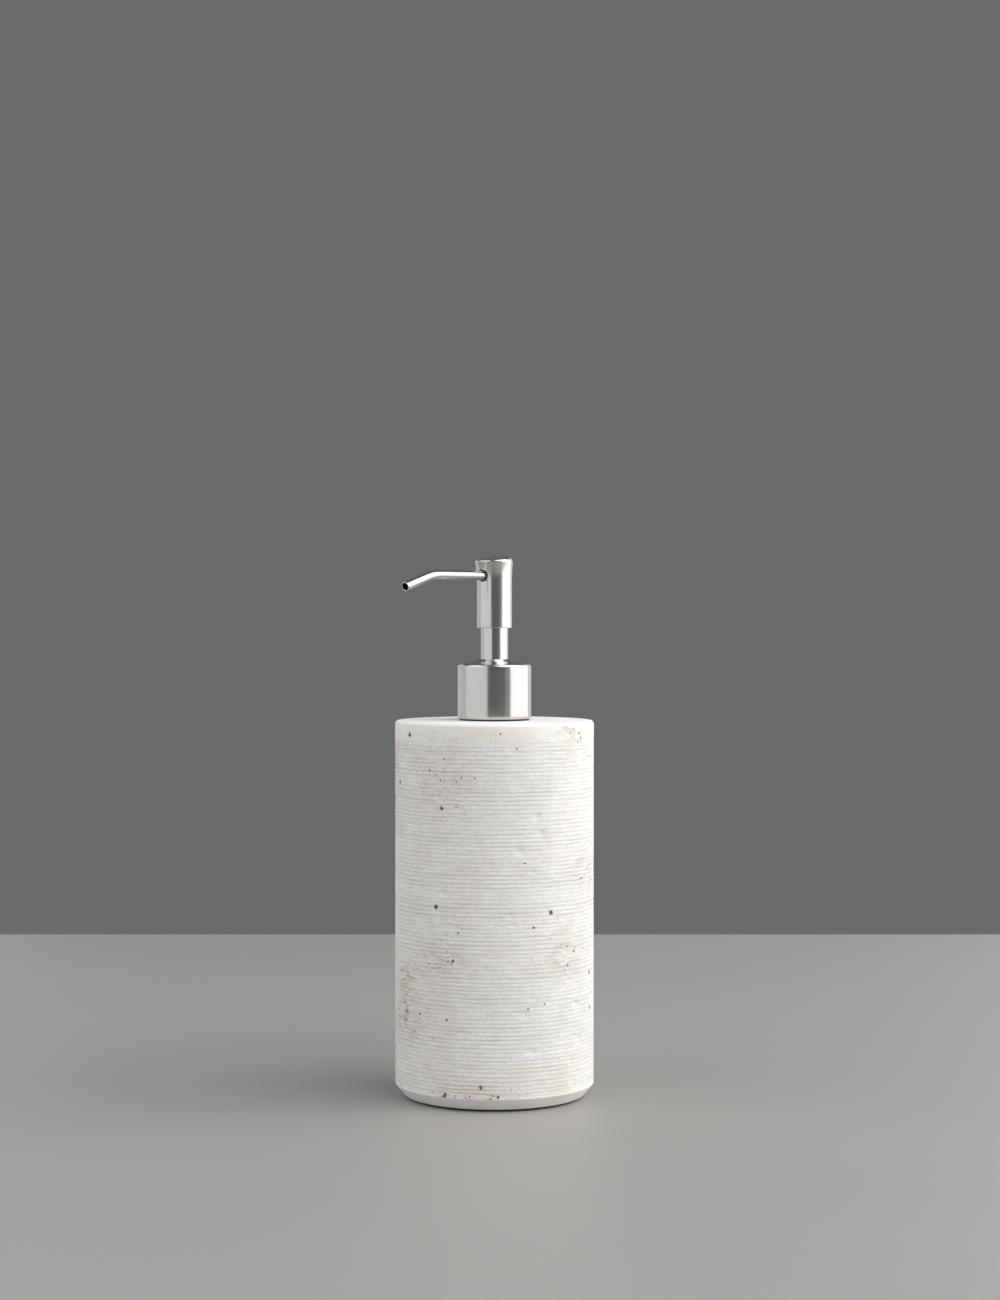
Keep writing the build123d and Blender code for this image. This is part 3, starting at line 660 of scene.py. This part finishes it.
def make_head(pump):
    """The head's can: a wall with the spout's round hole, and a slanted top with a rounded edge.

    The wall is a grid of angle a from the spout and height z. Round the spout a rectangle of the grid is
    left out, and rings of points lead from its border in to the hole. The top is rings that go round the
    edge on a quarter turn and in to the centre. Solidify gives the wall its thickness inwards.
    """
    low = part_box("head_shell")[0]
    spout_z = spout_axis_height()
    middle_top = low.z + HEAD_HEIGHT
    window, side = 16, 40
    a_window = np.linspace(-HOLE_WINDOW_ANGLE, HOLE_WINDOW_ANGLE, window + 1)
    a_rest = np.linspace(HOLE_WINDOW_ANGLE, 2 * pi - HOLE_WINDOW_ANGLE, 2 * side + 1)[1:-1]
    a = np.concatenate([a_window, a_rest])
    cols = len(a)
    back = (1 - np.cos(a)) / 2
    corner = (0.35 + 1.9 * back) * MM
    edge = middle_top - tan(HEAD_TILT) * HEAD_RADIUS * 1.08 * np.cos(a) - corner
    foot_rows = low.z + np.array([0.0, 0.3]) * MM
    z_low = np.concatenate([foot_rows, np.linspace(low.z + 1.5 * MM, spout_z - HOLE_WINDOW_HEIGHT, 12)])
    z_window = np.linspace(spout_z - HOLE_WINDOW_HEIGHT, spout_z + HOLE_WINDOW_HEIGHT, window + 1)
    share = np.linspace(0, 1, 7)[1:, None]
    z_high = z_window[-1] + (edge[None, :] - z_window[-1]) * share
    z = np.vstack([np.repeat(z_low[:-1, None], cols, 1), np.repeat(z_window[:, None], cols, 1), z_high])
    rows = len(z)
    grid = head_surface(np.broadcast_to(a, z.shape), z, middle_top)
    first = len(z_low) - 1
    # Rings from the rim in over the rounded edge to the centre of the slanted top.
    rim = grid[-1]
    inner = np.array([0.0, -0.3 * MM, middle_top])
    outward = rim - inner
    outward[:, 2] = 0
    outward /= np.linalg.norm(outward, axis=1)[:, None]
    rings = []
    for q in np.linspace(0, pi / 2, 7)[1:]:
        step = corner[:, None]
        rings.append(rim - outward * step * (1 - cos(q)) + np.array([0, 0, 1.0]) * step * sin(q))
    last = rings[-1]
    for s in (0.8, 0.5, 0.2):
        rings.append(inner + (last - inner) * s)
    top_rows = np.stack(rings)
    points = np.concatenate([grid.reshape(-1, 3), top_rows.reshape(-1, 3), inner[None]])
    total = rows + len(rings)
    quads = ring_faces(total, cols)
    row_of, col_of = np.divmod(np.arange(len(quads)), cols)
    inside = (row_of >= first) & (row_of < first + window) & (col_of < window)
    quads = quads[~inside]
    centre = len(points) - 1
    j = np.arange(cols)
    fan = np.stack([(total - 1) * cols + j, (total - 1) * cols + (j + 1) % cols, np.full(cols, centre)], -1)
    # The window's border, once round, and its rings in to the hole.
    n = np.arange(window)
    border = np.concatenate(
        [
            first * cols + n,
            (first + n) * cols + window,
            (first + window) * cols + window - n,
            (first + window - n) * cols,
        ]
    )
    still = np.zeros(window)
    border_a = np.concatenate([a_window[n], still + a_window[-1], a_window[window - n], still + a_window[0]])
    border_z = np.concatenate([still + z_window[0], z_window[n], still + z_window[-1], z_window[window - n]])
    turn = np.arctan2(border_z - spout_z, border_a / HOLE_WINDOW_ANGLE * HOLE_WINDOW_HEIGHT)
    hole_a = np.arcsin(HOLE_RADIUS * np.cos(turn) / HEAD_RADIUS)
    hole_z = spout_z + HOLE_RADIUS * np.sin(turn)
    start = len(points)
    steps = np.linspace(0, 1, 6)[1:, None]
    ring_points = head_surface(
        border_a + (hole_a - border_a) * steps, border_z + (hole_z - border_z) * steps, middle_top
    ).reshape(-1, 3)
    points = np.concatenate([points, ring_points])
    count = len(border)
    index = np.concatenate([border[None], start + np.arange(5 * count).reshape(5, count)])
    k = (np.arange(count) + 1) % count
    ring_quads = np.stack([index[:-1], index[:-1][:, k], index[1:][:, k], index[1:]], -1).reshape(-1, 4)
    material = polished_steel("stainless steel can, polished", pump, 0.17, 8)
    piece = build_piece("steel_head", points, [*quads, *fan, *ring_quads], material, 50)
    solidify = piece.modifiers.new("wall", "SOLIDIFY")
    solidify.thickness = HEAD_WALL
    solidify.offset = -1
    solidify.use_even_offset = True
    bevel = piece.modifiers.new("cut edges", "BEVEL")
    bevel.width = 0.09 * MM
    bevel.segments = 2
    bevel.angle_limit = radians(50)
    return piece


def spout_axis_height():
    """Height of the spout's straight run: its tube's top less its radius, which is half its width."""
    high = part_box("spout_tube")[1]
    return high.z - high.x


SPOUT_BEND = radians(17.6)
SPOUT_BEND_RADIUS = 22 * MM
SPOUT_BEND_POINT = 30.9 * MM
SPOUT_WALL = 0.4 * MM


def spout_line(s, start_y, bend_y, height):
    """Place and direction at length s along the spout: a run along -Y, an arc turning down, a run on."""
    straight = start_y - bend_y
    arc = SPOUT_BEND_RADIUS * SPOUT_BEND
    turn = np.clip((s - straight) / SPOUT_BEND_RADIUS, 0, SPOUT_BEND)
    after = np.maximum(s - straight - arc, 0)
    y = start_y - np.clip(s, None, straight) - SPOUT_BEND_RADIUS * np.sin(turn) - after * cos(SPOUT_BEND)
    z = height - SPOUT_BEND_RADIUS * (1 - np.cos(turn)) - after * sin(SPOUT_BEND)
    return y, z, turn


def make_spout(pump):
    """Thin tube along the spout's line, with both walls and rounded rims.

    Its outline is a closed loop of (s, r): out along the outer wall, round the rim, back along the bore.
    Point (s, a): the line's place at s plus r (cos a sideways + sin a upwards across the line).
    """
    low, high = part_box("spout_tube")
    radius = high.x
    height = spout_axis_height()
    reach = high.y - low.y
    bend_y = -SPOUT_BEND_POINT + SPOUT_BEND_RADIUS * tan(SPOUT_BEND / 2)
    straight = high.y - bend_y
    arc = SPOUT_BEND_RADIUS * SPOUT_BEND
    end = (reach - straight - (SPOUT_BEND_RADIUS + radius) * sin(SPOUT_BEND)) / cos(SPOUT_BEND)
    length_all = straight + arc + end
    rim = SPOUT_WALL / 2
    bore = radius - SPOUT_WALL
    root_round = 0.9 * rim
    tip_round = 0.95 * rim
    corners = [
        (0, bore, root_round),
        (0, radius, root_round),
        (length_all, radius, tip_round),
        (length_all, bore, tip_round),
    ]
    loop = densify(rounded_loop(corners), 0.7 * MM)
    s, r = loop[:, 0], loop[:, 1]
    y, z, turn = spout_line(s, high.y, bend_y, height)
    cols = 64
    a = np.arange(cols) / cols * 2 * pi
    sideways = r[:, None] * np.cos(a)
    upwards = r[:, None] * np.sin(a)
    points = np.stack(
        [
            sideways,
            y[:, None] - upwards * np.sin(turn)[:, None],
            z[:, None] + upwards * np.cos(turn)[:, None],
        ],
        -1,
    )
    material = polished_steel("stainless steel tube, bent and polished", pump, 0.16, 6, "y")
    return build_piece("steel_spout", points.reshape(-1, 3), ring_faces(len(loop), cols, True), material)


SPRING_WIRE = 0.4 * MM
SPRING_TURNS = 10
SPRING_STEPS = 40
WIRE_COLS = 12


def make_spring():
    """Coil of round wire, its end turns closed: place = (R cos t, R sin t, z(t)), swept by a small circle."""
    low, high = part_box("return_spring")
    coil = high.x - SPRING_WIRE
    turned = np.linspace(0, 1, SPRING_TURNS * SPRING_STEPS + 1) * SPRING_TURNS
    # One closed turn at each end, the open turns between.
    free = high.z - low.z - 2 * SPRING_WIRE
    closed = 2.04 * SPRING_WIRE
    rise = np.interp(turned, [0, 1, SPRING_TURNS - 1, SPRING_TURNS], [0, closed, free - closed, free])
    z = low.z + SPRING_WIRE + rise
    a = turned * 2 * pi
    ring = np.arange(WIRE_COLS) / WIRE_COLS * 2 * pi
    r = coil + SPRING_WIRE * np.cos(ring)[None, :]
    points = np.stack(
        [r * np.cos(a)[:, None], r * np.sin(a)[:, None], z[:, None] + SPRING_WIRE * np.sin(ring)[None, :]], -1
    )
    faces = ring_faces(len(z), WIRE_COLS)
    ends = [np.arange(WIRE_COLS)[::-1], (len(z) - 1) * WIRE_COLS + np.arange(WIRE_COLS)]
    material, tree, shader, place = start_material("spring wire, stainless", Metallic=1.0, Roughness=0.28)
    tint = add_node(tree, "ShaderNodeTexNoise", {"Vector": place, "Scale": per_mm(3), "Detail": 2.0})
    tone = add_node(
        tree, "ShaderNodeMix",
        {0: tint.outputs["Fac"], 6: rgba(linear("#B9B7B2")), 7: rgba(linear("#9E9B95"))}, data_type="RGBA",
    )
    tree.links.new(tone.outputs[2], shader.inputs["Base Color"])
    return build_piece("spring_coil", points.reshape(-1, 3), [*faces, *ends], material, 60)


# Operators


class DISPENSER_OT_stone(bpy.types.Operator):
    """Builds the stone body and finishes its plug and pad"""

    bl_idname = "dispenser.stone"
    bl_label = "Stone body"

    def execute(self, context):
        stone = context.scene.dispenser_stone
        pump = context.scene.dispenser_pump
        body = make_stone_body(stone)
        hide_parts("vessel_body")
        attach(body, "vessel")
        finish_nodes(body.data.materials[0], "vessel_base_plug")
        finish_nodes(closed_foam("foam pad, cut", pump.pad, 0.5), "foot_pad")
        return {"FINISHED"}


class DISPENSER_OT_collar(bpy.types.Operator):
    """Builds the steel collar"""

    bl_idname = "dispenser.collar"
    bl_label = "Steel collar"

    def execute(self, context):
        collar = make_collar(context.scene.dispenser_pump)
        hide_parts("collar_shell")
        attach(collar, "closure")
        return {"FINISHED"}


class DISPENSER_OT_neck(bpy.types.Operator):
    """Builds the steel neck tube"""

    bl_idname = "dispenser.neck"
    bl_label = "Neck tube"

    def execute(self, context):
        neck = make_neck_tube(context.scene.dispenser_pump)
        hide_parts("guide_sleeve")
        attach(neck, "pump_engine")
        return {"FINISHED"}


class DISPENSER_OT_head(bpy.types.Operator):
    """Builds the head's steel can"""

    bl_idname = "dispenser.head"
    bl_label = "Head"

    def execute(self, context):
        head = make_head(context.scene.dispenser_pump)
        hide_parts("head_shell")
        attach(head, "head")
        return {"FINISHED"}


class DISPENSER_OT_spout(bpy.types.Operator):
    """Builds the bent spout"""

    bl_idname = "dispenser.spout"
    bl_label = "Spout"

    def execute(self, context):
        spout = make_spout(context.scene.dispenser_pump)
        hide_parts("spout_tube")
        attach(spout, "head")
        return {"FINISHED"}


class DISPENSER_OT_spring(bpy.types.Operator):
    """Builds the return spring at its rest length; the real spring shortens as the head is pressed"""

    bl_idname = "dispenser.spring"
    bl_label = "Return spring"

    def execute(self, context):
        spring = make_spring()
        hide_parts("return_spring")
        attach(spring, "pump_engine")
        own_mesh(spring)
        return {"FINISHED"}


class DISPENSER_OT_inner(bpy.types.Operator):
    """Finishes the moulded parts inside the pump"""

    bl_idname = "dispenser.inner"
    bl_label = "Pump parts"

    def execute(self, context):
        pump = context.scene.dispenser_pump
        white = moulded_plastic("polypropylene, moulded white", pump.white_plastic, 0.42, 0.35)
        dark = moulded_plastic("polypropylene, moulded dark", pump.dark_plastic, 0.38, 0.3)
        grey = moulded_plastic("polypropylene, moulded grey", pump.grey_plastic, 0.4, 0.3)
        soft = moulded_plastic("polyethylene seal, moulded", linear("#EFEFEA"), 0.5, 0.25)
        clear = moulded_plastic("polyethylene tube, extruded", linear("#E6E9E8"), 0.3, 1.5, 0.6)
        foam = closed_foam("polyethylene foam ring", linear("#E9E8E2"), 0.25)
        ball = polished_steel("steel ball, ground", pump, 0.06, 2)
        finish_nodes(white, "stem_guide", "pump_chamber", "valve_cage", "piston_rod", "stem")
        finish_nodes(dark, "neck_insert", "closure_cap")
        finish_nodes(grey, "actuator_core")
        finish_nodes(soft, "piston_seal")
        finish_nodes(clear, "dip_tube")
        finish_nodes(foam, "sealing_gasket")
        finish_nodes(ball, "inlet_ball")
        return {"FINISHED"}


# Softboxes: name, bearing from the camera's side to the right, distance, height, size, radiance, tilt down.
SOFTBOXES = (
    ("left softbox", -60, 1.2, 0.35, (1.9, 1.1), 0.62, 0),
    ("left rear softbox", -130, 1.2, 0.35, (1.5, 1.1), 0.42, 0),
    ("right softbox", 88, 1.0, 0.5, (1.6, 1.4), 1.25, 5),
    ("right rear softbox", 142, 1.2, 0.4, (0.8, 1.1), 0.55, 0),
    ("front strip", 40, 1.2, 0.3, (0.2, 1.0), 0.15, 0),
    ("high right softbox", 56, 1.05, 1.15, (1.9, 1.5), 1.85, 45),
    ("high left softbox", -70, 1.05, 1.2, (1.5, 1.2), 0.95, 46),
)


FLOOR_BACK = -0.435
FLOOR_FRONT = 1.6
FLOOR_HALF = 1.6


def add_softbox(name, heading, distance, height, size, radiance, tilt):
    """A rectangular softbox that faces the axis and leans down by tilt; heading is its bearing."""
    light = bpy.data.lights.new(name, "AREA")
    light.shape = "RECTANGLE"
    light.size, light.size_y = size
    light.energy = radiance * 4 * size[0] * size[1]
    softbox = bpy.data.objects.new(name, light)
    softbox.location = (distance * sin(heading), -distance * cos(heading), height)
    softbox.rotation_euler = (pi / 2 - tilt, 0, heading)
    softbox.visible_camera = False
    bpy.context.scene.collection.objects.link(softbox)


class DISPENSER_OT_stage(bpy.types.Operator):
    """Sets the floor, the soft studio light and the camera"""

    bl_idname = "dispenser.stage"
    bl_label = "Stage"

    def execute(self, context):
        stage = context.scene.dispenser_stage
        scene = context.scene
        a = stage.azimuth
        towards = np.array([sin(a), -cos(a)])
        right = np.array([cos(a), sin(a)])
        corners = [
            towards * FLOOR_BACK - right * FLOOR_HALF,
            towards * FLOOR_FRONT - right * FLOOR_HALF,
            towards * FLOOR_FRONT + right * FLOOR_HALF,
            towards * FLOOR_BACK + right * FLOOR_HALF,
        ]
        material, tree, shader, place = start_material("floor, matt laminate", Roughness=0.55)
        veil = add_node(tree, "ShaderNodeTexNoise", {"Vector": place, "Scale": per_mm(120), "Detail": 3.0})
        pale = tuple(c * 0.96 for c in stage.floor)
        tone = add_node(
            tree, "ShaderNodeMix",
            {0: veil.outputs["Fac"], 6: rgba(stage.floor), 7: rgba(pale)}, data_type="RGBA",
        )
        tree.links.new(tone.outputs[2], shader.inputs["Base Color"])
        floor = build_piece("floor", [(x, y, 0.0) for x, y in corners], [np.arange(4)], material)
        world = bpy.data.worlds.new("surround")
        world.use_nodes = True
        world.node_tree.nodes["Background"].inputs["Color"].default_value = rgba(stage.wall)
        scene.world = world
        for name, bearing, distance, height, size, radiance, tilt in SOFTBOXES:
            add_softbox(name, a + radians(bearing), distance, height, size, radiance, radians(tilt))
        camera_data = bpy.data.cameras.new("camera")
        camera_data.lens = stage.lens
        camera = bpy.data.objects.new("camera", camera_data)
        spot = towards * stage.distance + right * stage.side
        camera.location = (spot[0], spot[1], stage.height)
        camera.rotation_euler = (pi / 2 - stage.pitch, 0, a)
        scene.collection.objects.link(camera)
        scene.camera = camera
        scene.view_settings.view_transform = "Standard"
        return {"FINISHED"}


class DISPENSER_PT_panel(bpy.types.Panel):
    """Sizes, colours and one button for each piece"""

    bl_label = "Dispenser"
    bl_idname = "DISPENSER_PT_panel"
    bl_space_type = "VIEW_3D"
    bl_region_type = "UI"
    bl_category = "Dispenser"

    def draw(self, context):
        scene = context.scene
        for group in (scene.dispenser_stone, scene.dispenser_pump, scene.dispenser_stage):
            box = self.layout.box()
            for name in group.__annotations__:
                box.prop(group, name)
        for operator in OPERATORS:
            self.layout.operator(operator.bl_idname)


SETTINGS = (StoneSettings, PumpSettings, StageSettings)
OPERATORS = (
    DISPENSER_OT_stone,
    DISPENSER_OT_collar,
    DISPENSER_OT_neck,
    DISPENSER_OT_head,
    DISPENSER_OT_spout,
    DISPENSER_OT_spring,
    DISPENSER_OT_inner,
    DISPENSER_OT_stage,
)


def register():
    """Registers the settings, the operators and the panel."""
    for one in (*SETTINGS, *OPERATORS, DISPENSER_PT_panel):
        bpy.utils.register_class(one)
    bpy.types.Scene.dispenser_stone = bpy.props.PointerProperty(type=StoneSettings)
    bpy.types.Scene.dispenser_pump = bpy.props.PointerProperty(type=PumpSettings)
    bpy.types.Scene.dispenser_stage = bpy.props.PointerProperty(type=StageSettings)


def unregister():
    """Takes back what register added."""
    del bpy.types.Scene.dispenser_stone
    del bpy.types.Scene.dispenser_pump
    del bpy.types.Scene.dispenser_stage
    for one in reversed((*SETTINGS, *OPERATORS, DISPENSER_PT_panel)):
        bpy.utils.unregister_class(one)


def main():
    """Builds every piece and the stage."""
    register()
    bpy.ops.dispenser.stone()
    bpy.ops.dispenser.collar()
    bpy.ops.dispenser.neck()
    bpy.ops.dispenser.head()
    bpy.ops.dispenser.spout()
    bpy.ops.dispenser.spring()
    bpy.ops.dispenser.inner()
    bpy.ops.dispenser.stage()


if __name__ == "__main__":
    main()
